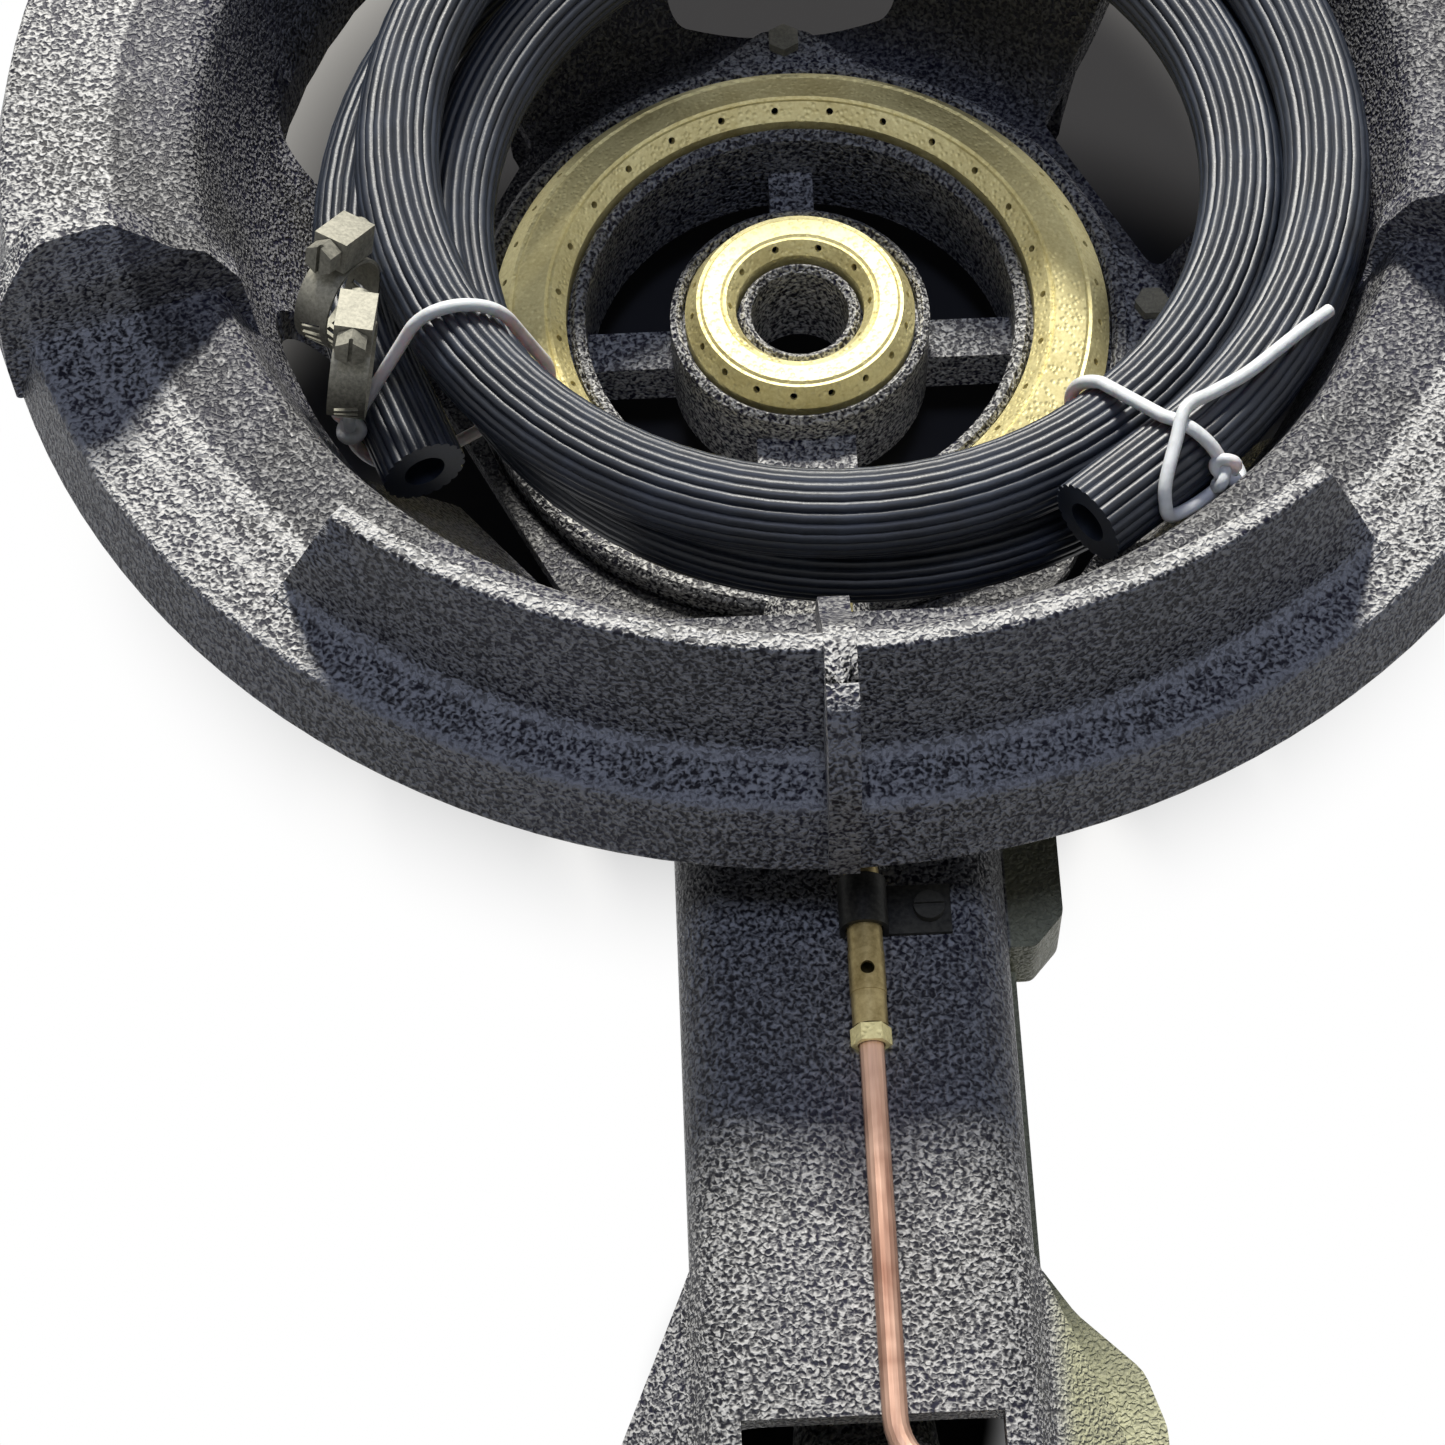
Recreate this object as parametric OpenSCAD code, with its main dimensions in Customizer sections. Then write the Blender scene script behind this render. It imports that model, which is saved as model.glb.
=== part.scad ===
// Cast iron outdoor gas burner: bowl with pot supports, arm, double ring burner, valves and hose.
// The arm points along -Y, the stove stands on z = 0 and the origin is under the middle of its box.

/* [Bowl] */
// Outer radius of the rim skirt
bowl_r = 200; // [190:1:215]
// Height of the skirt's lower edge above the ground
skirt_z = 118; // [114:1:130]
// Height of the rim's flat top above the skirt's lower edge
rim_h = 19; // [16:0.5:24]
// Inward lean of the skirt
skirt_lean = 6; // [3:0.5:9]
// Thickness of the cast walls
wall = 5.5; // [4.5:0.25:6.5]
// Width of the rim, from the skirt's foot in to the bowl's mouth
rim_w = 52; // [49:0.5:54]
// Width of the shelf round the burner
shelf_w = 12; // [10:0.5:15]
// Depth of the shelf below the skirt's lower edge
shelf_drop = 82; // [78:1:84]
// Half angle of each air window in the bowl's floor
window_half = 17; // [12:1:18]
// Angle by which the front side windows reach further towards the arm
window_more = 17; // [0:1:18]
// Width of the shelf that is left between the burner and a side window
window_in = 4; // [3:0.5:6]

/* [Pot supports and wind wall] */
// Number of pot supports
fin_count = 5; // [3:1:6]
// Thickness of a pot support
fin_t = 7; // [5:0.5:9]
// Height of the pot supports above the skirt's lower edge
fin_h = 55; // [48:1:62]
// Distance that a support stands out past the skirt
fin_out = 1; // [0:0.2:4]
// Height of the wind wall above the skirt's lower edge
wind_h = 53; // [40:1:54]
// Distance from the skirt's foot in to the wind wall
wind_in = 20; // [16:1:24]
// Half angle of the wind wall at its top
wind_half = 39; // [30:1:45]
// Angle by which each end of the wind wall is wider at its foot
wind_spread = 4.2; // [2:0.2:6]

/* [Legs] */
// Distance from the shelf's edge out to the middle of a leg
leg_out = 4; // [2:0.5:8]
// Width of a leg
leg_w = 30; // [24:1:34]
// Angle between a front leg and the arm
leg_angle = 50; // [44:1:54]
// Angle between a rear leg and the arm
rear_leg_angle = 144; // [138:1:148]

/* [Arm] */
// Width of the arm
arm_w = 76; // [74:1:84]
// Height of the arm's flat top
arm_top = 94; // [90:1:97]
// Height of the arm's open lower edge
arm_low = 22; // [14:1:28]
// Radius of the arm's shoulders
arm_shoulder = 13; // [8:0.5:16]
// Distance from the bowl's mouth to the arm's bolted flange
arm_gap = 2; // [1:0.5:3]
// Length of the arm
arm_l = 207; // [200:1:220]
// Half width of the spread front foot
foot_half = 58; // [54:1:64]
// Length of the spread front foot
foot_l = 76; // [72:1:84]
// Length of the open recess over the air shutter
recess_l = 34; // [30:1:38]
// Length of the side lug
lug_l = 31.5; // [25:0.5:40]
// Width of the side lug past the arm
lug_w = 14; // [10:0.5:20]
// Width of the ledge on the foot, on the same side as the lug
ledge_w = 8; // [4:0.5:12]

/* [Burner] */
// Height of the gas axis
gas_z = 36; // [35:0.5:38]
// Outer radius of the burner's body
burner_r = 88; // [86:0.5:89]
// Bottom of the burner's body above the ground
burner_low = 17; // [15:0.5:19]
// Height of the outer trough's outer lip
outer_lip_z = 42; // [41:0.5:44]
// Height of the troughs' inner lips
inner_lip_z = 47; // [45:0.5:48]
// Distance from the burner's edge in to the large ring cap
cap_edge = 6; // [5:0.5:8]
// Width of the large ring cap
cap_w = 20; // [18:0.5:21]
// Outer radius of the small ring cap
small_cap_r = 30.5; // [29:0.5:31]
// Width of the small ring cap
small_cap_w = 13.5; // [12:0.5:14]
// Wall of the ring caps
cap_wall = 2.7; // [2:0.1:3]
// Flame holes in the large cap's outer row
holes_outer = 39; // [24:1:48]
// Flame holes in the large cap's inner row
holes_inner = 27; // [18:1:36]
// Diameter of a flame hole
flame_d = 1.9; // [1.4:0.1:2.4]
// Outer radius of the mixing tube
venturi_r = 15; // [13:0.5:16]
// Wall of the mixing tube
venturi_wall = 3.5; // [3:0.25:4.5]
// Radius of the mixing tube's mouth
bell_r = 24; // [20:0.5:25]

/* [Gas valve] */
// Diameter of the air shutter
shutter_d = 52; // [46:1:54]
// Thickness of the air shutter
shutter_t = 2; // [1.5:0.25:3]
// Furthest turn of the air shutter
shutter_turn = 60; // [30:5:60]
// Diameter of the nozzle holder's sleeve
sleeve_d = 16; // [14:0.5:18]
// Diameter of the jet in the nozzle
jet_d = 1.6; // [1.2:0.1:2]
// Diameter of the valve body
valve_d = 24; // [22:0.5:26]
// Distance from the arm's front face to the valve's middle
valve_gap = 21; // [19:0.5:23]
// Angle of the valve stem above the horizontal
stem_angle = 60; // [50:1:65]
// Distance from the gas axis to the hand wheel
stem_l = 50; // [48:1:54]
// Diameter of the valve stem
stem_d = 8; // [6:0.5:9]
// Diameter of the hand wheel
wheel_d = 44; // [38:1:46]
// Lobes on the hand wheel's rim
wheel_lobes = 8; // [5:1:12]
// Outer diameter of the hose spigot
spigot_d = 10; // [9:0.5:11]
// Length of the hose spigot
spigot_l = 32; // [28:1:40]

/* [Pilot] */
// Diameter of the copper pilot pipe
pipe_d = 5.6; // [5:0.1:6]
// Distance of the pilot pipe from the arm's middle
pipe_x = 4.5; // [3:0.5:6]
// Distance of the pilot tap from the arm's middle
tap_x = 24; // [23:0.5:26]
// Diameter of the pilot's brass mixer
mixer_d = 8; // [7.5:0.1:8.5]
// Distance from the arm's flange to the mixer's rear end
mixer_gap = 40; // [36:1:43]
// Length of the mixer
mixer_l = 39; // [34:1:44]
// Length of the pilot tap's lever
lever_l = 26; // [20:1:32]

/* [Hose] */
// Outer diameter of the hose
hose_d = 21; // [20:0.1:21.2]
// Bore of the hose
hose_bore = 10.4; // [8:0.1:12]
// Distance from the bowl's mouth in to the coil's upper end
coil_in = 26.2; // [25.8:0.1:29]
// Turns of the upper layer, wound inwards
turns_in = 1.475; // [1.4:0.005:1.5]
// Turns of the lower layer, wound outwards
turns_out = 1.24; // [1.1:0.005:1.26]
// Step inwards for each turn of the upper layer
step_in = 19.6; // [19.6:0.1:20.4]
// Step outwards for each turn of the lower layer
step_out = 25; // [24:0.1:26]
// Straight run at each end of the hose
hose_lead = 26; // [21:1:30]
// Diameter of the ties round the coil
tie_d = 2.2; // [2:0.1:2.6]
// Inner diameter of the hose clamps
clamp_d = 22; // [20:0.5:26]
// Width of a clamp's band
clamp_w = 9; // [7:0.5:10]

/* [Clearances] */
// Gap between faces that rest on each other
seat = 0.3; // [0.2:0.05:0.4]
// Radial clearance of a screw in its hole
screw_gap = 0.3; // [0.2:0.05:0.5]
// Radial clearance of a turning shaft
running = 0.06; // [0.03:0.01:0.1]
// Diameter of the small bolts on the burner
bolt_d = 5; // [4:0.5:6]
// Diameter of the bolts at the arm's flange
arm_bolt_d = 8; // [6:0.5:8]

/* [Hidden] */
$fn = 96;

mouth_r = bowl_r - rim_w;
shelf_r = burner_r + shelf_w;
cap_r = burner_r - cap_edge;
wind_r = bowl_r - wind_in;
leg_r = shelf_r + leg_out;
arm_start = mouth_r + arm_gap;
arm_end = arm_start + arm_l;
mixer_start = arm_start + mixer_gap;
mixer_end = mixer_start + mixer_l;
coil_r = mouth_r - coil_in;
rim_z = skirt_z + rim_h;
rim_r = bowl_r - skirt_lean;
shelf_z = skirt_z - shelf_drop;
slope_r = mouth_r - 10;
slope_z = rim_z - 34;
bend_r = shelf_r + 12;
bend_z = shelf_z + 20;
shelf_hole = burner_r + 1;
arm_half = arm_w / 2;
flange_t = 8;
recess_end = arm_end - 7;
recess_start = recess_end - recess_l;
mouth_y = recess_start + 2;
valve_y = arm_end + valve_gap;
shutter_y = mouth_y + seat;
holder_t = 7;
nozzle_y = mouth_y + 16;
stem_dir = [0, -cos(stem_angle), sin(stem_angle)];
wheel_c = [0, -valve_y, gas_z] + stem_l * stem_dir;
wheel_t = 7;
// Foremost point of the hand wheel, its rim and half its thickness
front_y = -wheel_c[1] + wheel_d / 2 * sin(stem_angle) + wheel_t / 2 * cos(stem_angle);
bowl_y = (front_y - bowl_r) / 2;
pipe_z = arm_top + mixer_d / 2 + seat;
ledge_out_z = outer_lip_z - 6;
ledge_in_z = inner_lip_z - 6;
side_windows = [[63, 1, 0], [117, 0, 0], [243, 0, 0], [297, 0, 1]];
ear_angles = [90, 180, 270];
ear_r = burner_r + 5.6;

iron = "#33363d";
brass = "#d8c878";
copper = "#b8735a";
steel = "#c9ccd0";
rubber = "#1d2126";

// ---------- shared geometry ----------

function unit(v) = v / norm(v);
function xy(p) = [p[0], p[1]];

// One corner [x, y, radius] between its neighbours, as points of an arc
function corner(a, p, b) =
    let (c = xy(p), u = unit(xy(a) - c), v = unit(xy(b) - c), half = acos(u * v) / 2)
    p[2] == 0 ? [c] :
    let (m = c + unit(u + v) * p[2] / sin(half), s = c + u * p[2] / tan(half) - m,
        e = c + v * p[2] / tan(half) - m, a0 = atan2(s[1], s[0]),
        turn = (atan2(e[1], e[0]) - a0 + 540) % 360 - 180, n = max(1, ceil(abs(turn) / 15)))
    [for (i = [0:n]) m + p[2] * [cos(a0 + turn * i / n), sin(a0 + turn * i / n)]];

// Outline whose corners are rounded by their own radii
function rounded(pts) = let (n = len(pts))
    [for (i = [0:n - 1]) each corner(pts[(i + n - 1) % n], pts[i], pts[(i + 1) % n])];

// Both halves of an outline that is mirrored in x, from its right half
function both(pts) = concat(pts, [for (i = [len(pts) - 1:-1:0]) [-pts[i][0], pts[i][1], pts[i][2]]]);

// Moves a part from the bowl's axis to its place over the origin
module place() {
    translate([0, bowl_y, 0]) children();
}

// Turns a part by an angle that is counted from the arm towards +X
module around(angle) {
    rotate(angle - 90) children();
}

// Extrudes an outline drawn in x and z, along -Y from a distance
module along_arm(from, to) {
    translate([0, -from, 0]) rotate([90, 0, 0]) linear_extrude(to - from) children();
}

// Extrudes an outline drawn in radius and height, centred on its plane
module radial_plate(t) {
    rotate([90, 0, 0]) translate([0, 0, -t / 2]) linear_extrude(t) children();
}

// Cylinder along -Y on the gas axis, between two distances
module gas_round(from, to, r) {
    translate([0, -from, gas_z]) rotate([90, 0, 0]) cylinder(h = to - from, r = r);
}

module hexagon(across, h) {
    cylinder(h = h, d = across / cos(30), $fn = 6);
}

// Hexagon bolt that hangs from z = 0, with a nut below what it holds
module hex_bolt(d, grip, across) {
    hexagon(across, 0.6 * d);
    translate([0, 0, -grip - d]) cylinder(h = grip + d, d = d);
    translate([0, 0, -grip - 2 * seat - 0.7 * d]) difference() {
        hexagon(across, 0.7 * d);
        translate([0, 0, -1]) cylinder(h = d, d = d - 0.2);
    }
}

// Ring of points round a point of a path, starting on the side that ref points to
function ring(p, t, ref, r, sides) = let (s = unit(ref - t * (t * ref)), u = cross(t, s))
    [for (k = [0:sides - 1]) p + r * (cos(360 * k / sides) * s + sin(360 * k / sides) * u)];

// Direction of a path at its point i
function heading(path, i) = unit(path[min(i + 1, len(path) - 1)] - path[max(i - 1, 0)]);

function rings(path, ref, d, sides) =
    [for (i = [0:len(path) - 1]) each ring(path[i], heading(path, i), ref, d / 2, sides)];

// Triangles between the rings that start at points a and b
function strip(a, b, sides) = [for (k = [0:sides - 1]) let (n = (k + 1) % sides)
    each [[a + k, b + n, a + n], [a + k, b + k, b + n]]];
function strips(from, rows, sides) =
    [for (i = [0:rows - 2]) each strip(from + i * sides, from + (i + 1) * sides, sides)];
function flip(faces) = [for (f = faces) [f[2], f[1], f[0]]];
function cap(from, sides) = [for (k = [1:sides - 2]) [from, from + k, from + k + 1]];

// Solid cord along a path
module cord(path, ref, d, sides) {
    n = len(path);
    polyhedron(rings(path, ref, d, sides),
        concat(strips(0, n, sides), cap(0, sides), flip(cap((n - 1) * sides, sides))));
}

// Tube with a bore along a path
module tube(path, ref, d, bore, sides) {
    n = len(path);
    inner = n * sides;
    polyhedron(concat(rings(path, ref, d, sides), rings(path, ref, bore, sides)),
        concat(strips(0, n, sides), flip(strips(inner, n, sides)), flip(strip(0, inner, sides)),
            strip(inner - sides, 2 * inner - sides, sides)));
}

// ---------- bowl ----------

module bowl_shell() {
    foot = [shelf_hole, shelf_z - wall - 0.5, 1];
    rotate_extrude() polygon(rounded([
        [bowl_r, skirt_z, 1.2], [rim_r, rim_z, 2.2], [mouth_r, rim_z, 7],
        [slope_r, slope_z, 40], [bend_r, bend_z, 30], [shelf_r, shelf_z, 2.5],
        [shelf_hole, shelf_z, 1], foot, [shelf_r - 1, shelf_z - wall - 0.5, 8],
        [bend_r + wall - 0.5, bend_z - wall + 1, 30], [slope_r + wall, slope_z - 2, 40],
        [mouth_r + wall - 1, rim_z - wall, 3], [rim_r - wall + 1, rim_z - wall, 4],
        [bowl_r - wall + 0.5, skirt_z, 1.2]]));
}

// Air window in the bowl's floor between two angles from its middle, with a straight inner edge
module window(angle, low, high, from, to) {
    outer = [for (i = [0:6]) [high, from + (to - from) * i / 6, i == 0 || i == 6 ? 9 : 0]];
    turned = [for (p = concat([[low / cos(from), from, 5]], outer, [[low / cos(to), to, 5]]))
        [p[0] * sin(angle + p[1]), -p[0] * cos(angle + p[1]), p[2]]];
    translate([0, 0, burner_low]) linear_extrude(skirt_z - burner_low) polygon(rounded(turned));
}

// Rib in the radial plane that carries the pot
module pot_support() {
    top = skirt_z + fin_h;
    radial_plate(fin_t) polygon(rounded([
        [mouth_r - 7, skirt_z - 4, 0], [mouth_r - 5.5, skirt_z + 20, 6],
        [mouth_r + 1, skirt_z + 34, 5], [mouth_r + 8, skirt_z + 39, 6],
        [mouth_r + 21, top, 5], [bowl_r - 13, top, 8], [bowl_r + fin_out - 2, skirt_z + 36, 14],
        [bowl_r + fin_out, skirt_z + 12, 8], [bowl_r + fin_out, skirt_z, 1.5],
        [bowl_r - 3, skirt_z, 0], [rim_r - 3, rim_z - 3, 0],
        [mouth_r + 2, rim_z - 3, 0], [mouth_r - 3, skirt_z - 4, 0]]));
}

// Curved wall that shields the arm, leaning inwards, with sloped ends
module wind_wall() {
    top = skirt_z + wind_h;
    lean = 6.5;
    t = 5;
    foot = wind_half + wind_spread;
    end_slope = atan(wind_r * sin(wind_spread) / (wind_h - rim_h));
    difference() {
        rotate(-90 - foot) rotate_extrude(angle = 2 * foot) polygon(rounded([
            [wind_r + 3.5, rim_z - 2, 0], [wind_r + 3.5, rim_z + 0.3, 0],
            [wind_r, rim_z + 2, 3.5], [wind_r - lean, top, 1.2],
            [wind_r - lean - t, top, 1.2], [wind_r - t - 3.5, rim_z + 2, 3.5],
            [wind_r - t - 7, rim_z + 0.3, 0], [wind_r - t - 7, rim_z - 2, 0]]));
        for (side = [-1, 1]) rotate(side * foot) translate([0, -wind_r, rim_z])
            rotate([0, -side * end_slope, 0]) translate([side * 30, 0, 30])
                cube([60, 60, 80], center = true);
    }
}

module leg() {
    difference() {
        radial_plate(leg_w) polygon(rounded([
            [leg_r - 7, 0, 1.5], [leg_r + 6, 0, 1.5], [leg_r + 8, 16, 20],
            [slope_r + wall - 2, slope_z - 5, 0], [slope_r + wall - 1, slope_z + 4, 0],
            [slope_r + 1.5, slope_z + 4, 0], [slope_r - 0.5, slope_z - 5, 0],
            [slope_r - 12, slope_z - 24, 3], [bend_r - 7, bend_z - 10, 20],
            [leg_r - 6, 16, 14]]));
        for (side = [-1, 1]) translate([leg_r, side * (leg_w / 2 + 3), -1])
            cylinder(h = shelf_z - 3, r = 8);
    }
}

// Upright plate under the rim, to which the arm is bolted
module yoke() {
    difference() {
        along_arm(arm_start - flange_t, arm_start) polygon(rounded(both([
            [arm_half + 17, rim_z - wall + 1, 0], [arm_half + 17, arm_low + 26, 8]])));
        along_arm(arm_start - flange_t - 1, arm_start + 1) polygon(rounded(both([
            [arm_half - wall, arm_low - 1, 0], [arm_half - wall, arm_top - 6, 9]])));
        for (side = [-1, 1]) translate([side * arm_bolt_x, -arm_start, arm_bolt_z])
            rotate([90, 0, 0]) cylinder(h = 3 * flange_t, d = arm_bolt_d + 2 * screw_gap, center = true);
    }
}

arm_bolt_x = arm_half + 8.3;
arm_bolt_z = arm_top - 26;

module bowl() {
    color(iron) place() difference() {
        union() {
            difference() {
                bowl_shell();
                for (w = side_windows) window(w[0], shelf_hole + window_in, slope_r - 2,
                    -window_half - w[1] * window_more, window_half + w[2] * window_more);
                for (a = [0, 180]) window(a, shelf_r, bend_r + 9, -window_half, window_half);
            }
            for (i = [0:fin_count - 1]) around(i * 360 / fin_count) pot_support();
            wind_wall();
            for (a = [leg_angle, rear_leg_angle]) for (side = [-1, 1]) around(side * a) leg();
            yoke();
        }
        // Way through the shelf for the mixing tube and the pilot
        translate([-venturi_r - 3, -shelf_r - 1.5 * shelf_w, burner_low])
            cube([2 * venturi_r + 6, 3 * shelf_w, bend_z - burner_low + 6]);
        on_slope() cylinder(h = norm(jet_low - jet_high) + 5, d = jet_d_out + 4);
        for (a = ear_angles) around(a) translate([ear_r, 0, shelf_z - 10])
            cylinder(h = 20, d = bolt_d + 2 * screw_gap);
    }
}

// ---------- arm ----------

foot_start = arm_end - foot_l;

// Half outline of the spread foot in plan, drawn in by an inset
function foot_plan(inset, end) = [
    [arm_half - 16 - inset, -foot_start + 20, 0], [arm_half - inset, -foot_start + 2, 16],
    [foot_half - inset - 1, -foot_start - foot_l / 2, 18],
    [foot_half - inset, -end, inset == 0 ? 4 : 1]];

// Half outline of the foot's cross-section, drawn in by an inset
function foot_section(inset) = [
    [foot_half - inset, -inset, 0], [foot_half - inset, arm_top - 26 - inset, 10],
    [arm_half + 1 - inset, arm_top - 11 - inset, 5],
    [arm_half - 4 - inset * 0.6, arm_top - inset, 9]];

module foot_block(inset, end) {
    intersection() {
        translate([0, 0, -inset]) linear_extrude(arm_top + inset)
            polygon(rounded(both(foot_plan(inset, end))));
        along_arm(foot_start - 20, end) polygon(rounded(both(foot_section(inset))));
    }
}

module arm_section(inset, low) {
    polygon(rounded(both([[arm_half - inset, low, inset == 0 ? 1 : 0],
        [arm_half - inset, arm_top - inset, arm_shoulder - inset * 0.7]])));
}

rib_z = arm_top - 34;

module arm() {
    flange_y = arm_start + seat;
    color(iron) place() difference() {
        union() {
            along_arm(flange_y, arm_end - 20) arm_section(0, arm_low);
            foot_block(0, arm_end);
            // Bolted flange at the inner end
            along_arm(flange_y, flange_y + flange_t) polygon(rounded(both([
                [arm_half + 17, arm_bolt_z - 13, 7], [arm_half + 17, arm_bolt_z + 13, 7],
                [arm_half - 4, arm_top - 3, 4]])));
            // Side lug with a chamfered corner, the rib that runs on from it and the foot's ledge
            translate([0, 0, rib_z - 6]) linear_extrude(20) polygon(rounded([
                [arm_half - 2, -flange_y - 18, 0], [arm_half + lug_w, -flange_y - 18, 3],
                [arm_half + lug_w, -flange_y - 10 - lug_l, 4],
                [arm_half + lug_w - 7, -flange_y - 18 - lug_l, 3],
                [arm_half - 2, -flange_y - 18 - lug_l, 0]]));
            translate([arm_half - 2, -foot_start, rib_z - 6])
                cube([5, foot_start - flange_y - 17 - lug_l, 6]);
            translate([0, 0, rib_z - 22]) linear_extrude(22) polygon(rounded([
                [arm_half - 2, -foot_start + 8, 0], [arm_half + 3, -foot_start + 8, 2],
                [arm_half + 10, -foot_start - 3, 12], [foot_half + ledge_w - 4, -foot_start - 17, 9],
                [foot_half + ledge_w, -foot_start - 30, 12], [foot_half + ledge_w, -arm_end + 5, 5],
                [foot_half - 2, -arm_end + 2, 0], [foot_half - 2, -foot_start - foot_l / 2, 0]]));
            // Boss for the nozzle holder
            gas_round(arm_end - 12, arm_end, sleeve_d / 2 + 8);
        }
        along_arm(arm_start - 1, recess_end) arm_section(wall, -1);
        foot_block(6, recess_end);
        // Open recess over the shutter
        translate([-28, -recess_end, 58]) cube([56, recess_l, arm_top]);
        // Notch in the roof for the pilot tube
        translate([pipe_x - 6, -mixer_start + 2, arm_top - 20]) cube([12, mixer_start, 40]);
        gas_round(arm_end - 13, arm_end + 1, sleeve_d / 2 + screw_gap);
        // Arches between the feet
        along_arm(recess_end - 1, arm_end + 1) polygon(rounded(both([[42, -1, 0], [34, 17, 8]])));
        translate([0, -arm_end + 38, -2]) rotate([0, 90, 0])
            cylinder(h = 3 * foot_half, r = 17, center = true);
        for (side = [-1, 1]) translate([side * arm_bolt_x, -arm_start, arm_bolt_z])
            rotate([90, 0, 0]) cylinder(h = 4 * flange_t, d = arm_bolt_d + 2 * screw_gap, center = true);
        translate([pipe_x + 15, -bracket_y, arm_top - 10])
            cylinder(h = 20, d = bracket_screw_d + 2 * screw_gap);
    }
}

module arm_bolts() {
    color(steel) place() for (side = [-1, 1])
        translate([side * arm_bolt_x, -arm_start - flange_t - 2 * seat, arm_bolt_z])
            rotate([90, 0, 0]) hex_bolt(arm_bolt_d, 2 * flange_t + 2 * seat, 1.6 * arm_bolt_d);
}

// ---------- burner ----------

trough_z = burner_low + 5;

// One ring trough between two radii, with ledges that carry its cap
module trough(r_in, r_out, lip_in, lip_out, cap_in, cap_out, ledge_in, ledge_out) {
    rotate_extrude() polygon([
        [r_in, burner_low], [r_out, burner_low], [r_out, lip_out - 1.5], [r_out - 1.5, lip_out],
        [cap_out + 2.2, lip_out], [cap_out + 1, lip_out - 1.5], [cap_out + 1, ledge_out],
        [cap_out - 3, ledge_out], [cap_out - 3, trough_z], [cap_in + 3, trough_z],
        [cap_in + 3, ledge_in], [cap_in - 1, ledge_in], [cap_in - 1, lip_in - 1.5],
        [cap_in - 2.2, lip_in], [r_in + 1.5, lip_in], [r_in, lip_in - 1.5]]);
}

small_in = small_cap_r - small_cap_w;
cap_in = cap_r - cap_w;

module burner_body() {
    color("#55504a") place() difference() {
        union() {
            trough(cap_in - 5, burner_r, inner_lip_z, outer_lip_z, cap_in, cap_r,
                ledge_in_z, ledge_out_z);
            trough(small_in - 4, small_cap_r + 4, inner_lip_z, inner_lip_z - 1, small_in,
                small_cap_r, ledge_in_z, ledge_in_z);
            // Webs between the troughs
            for (a = [90, 180, 270]) around(a) translate([small_cap_r + 3, -6, burner_low])
                cube([cap_in - small_cap_r - 7, 12, 14]);
            // Duct under the troughs and mixing tube towards the arm
            translate([-13, -burner_r + 4, burner_low])
                cube([26, burner_r - 4 - small_in, trough_z - burner_low]);
            translate([-13, -cap_in + 4, burner_low])
                cube([26, cap_in - small_cap_r - 7, 20]);
            gas_round(burner_r - 2, burner_r + 12, venturi_r - 1);
            gas_round(burner_r + 10, mouth_y - 26, venturi_r);
            translate([0, -mouth_y, gas_z]) rotate([-90, 0, 0])
                rotate_extrude() polygon(rounded([[0, 0, 0], [bell_r, 0, 1], [bell_r, 3, 1],
                    [venturi_r + 2, 10, 8], [venturi_r, 28, 0], [0, 28, 0]]));
            // Ears that rest on the bowl's shelf
            for (a = ear_angles) around(a) translate([0, 0, shelf_z + seat])
                linear_extrude(5) difference() {
                    polygon(rounded([[burner_r - 10, -30, 0], [ear_r + 4.7, -6, 5],
                        [ear_r + 4.7, 6, 5], [burner_r - 10, 30, 0]]));
                    circle(r = burner_r - 2);
                }
        }
        for (a = ear_angles) around(a) translate([ear_r, 0, shelf_z - 1])
            cylinder(h = 10, d = bolt_d + 2 * screw_gap);
        // Bore of the mixing tube, and the flared mouth behind its face plate
        gas_round(cap_r + 1, mouth_y - 4, venturi_r - venturi_wall);
        gas_round(cap_in + 4, cap_r + 2, 9);
        translate([-9, -cap_in - 2, trough_z]) cube([18, cap_in - small_in - 2, 11]);
        translate([0, -mouth_y + 3, gas_z]) rotate([-90, 0, 0])
            cylinder(h = 20, r1 = bell_r - 4, r2 = venturi_r - venturi_wall);
        gas_round(mouth_y - 8, mouth_y + 1, sleeve_d / 2 + 1);
        air_ports(mouth_y - 4, mouth_y + 1);
    }
}

// Three sector openings that the shutter covers or uncovers
module air_ports(from, to) {
    low = sleeve_d / 2 + 3.2;
    high = bell_r - 3;
    along_arm(from, to) translate([0, gas_z]) for (a = [0, 120, 240]) rotate(a)
        polygon(concat([for (k = [-28:8:28]) high * [cos(k), sin(k)]],
            [for (k = [28:-8:-28]) low * [cos(k), sin(k)]]));
}

module burner_bolts() {
    color(steel) place() for (a = ear_angles) around(a)
        translate([ear_r, 0, shelf_z + 5 + 2 * seat])
            hex_bolt(bolt_d, 5 + wall + 0.5 + 2 * seat, 1.6 * bolt_d);
}

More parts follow.
